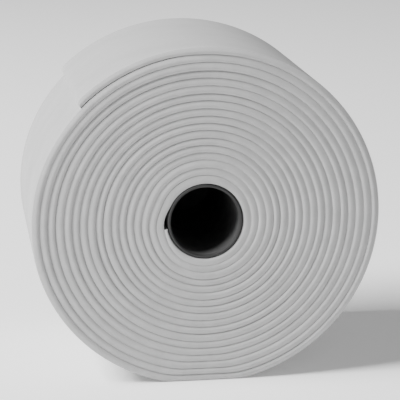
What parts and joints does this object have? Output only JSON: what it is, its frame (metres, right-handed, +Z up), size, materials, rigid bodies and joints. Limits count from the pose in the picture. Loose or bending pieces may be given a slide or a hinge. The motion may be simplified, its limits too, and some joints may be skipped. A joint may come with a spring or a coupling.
{
  "type": "grip tape roll",
  "caption": "Soft cushioned grip tape for a racket handle, wound in a spiral on a black tube core, standing on its rim with a free end that peels open.",
  "frame": {"origin": "middle of the core, on its bore's axis", "axes": "+Y along the roll's axis, away from the open side that shows the free end's step, +Z up from the flattened base that it stands on, +X to the right when seen from -Y"},
  "size_m": [0.0492, 0.03, 0.0479],
  "materials": {
    "core_plastic": "black, satin, slightly glossy inside the bore",
    "tack_film": "double-sided film, dull",
    "tape_face": "soft polyurethane skin, matte, very fine grain",
    "tape_foam": "fine closed-cell foam, matte cut edge",
    "adhesive": "tacky film, slightly glossy",
    "liner": "smooth siliconed paper"
  },
  "bodies": {
    "roll": {"core_tube": "core_plastic", "core_tack_strip": "tack_film", "face_film": "tape_face", "foam_backing": "tape_foam", "adhesive_strip": "adhesive", "release_liner": "liner"},
    "free_end": {"end_face_film": "tape_face", "end_foam_backing": "tape_foam", "end_adhesive_strip": "adhesive", "end_release_liner": "liner"}
  },
  "joints": [
    {"name": "free_end_peel", "type": "hinge", "parent": "roll", "child": "free_end", "pos_m": [-0.00258, 0, 0.02454], "axis": [0, 1, 0], "range_deg": [0, 75]}
  ]
}
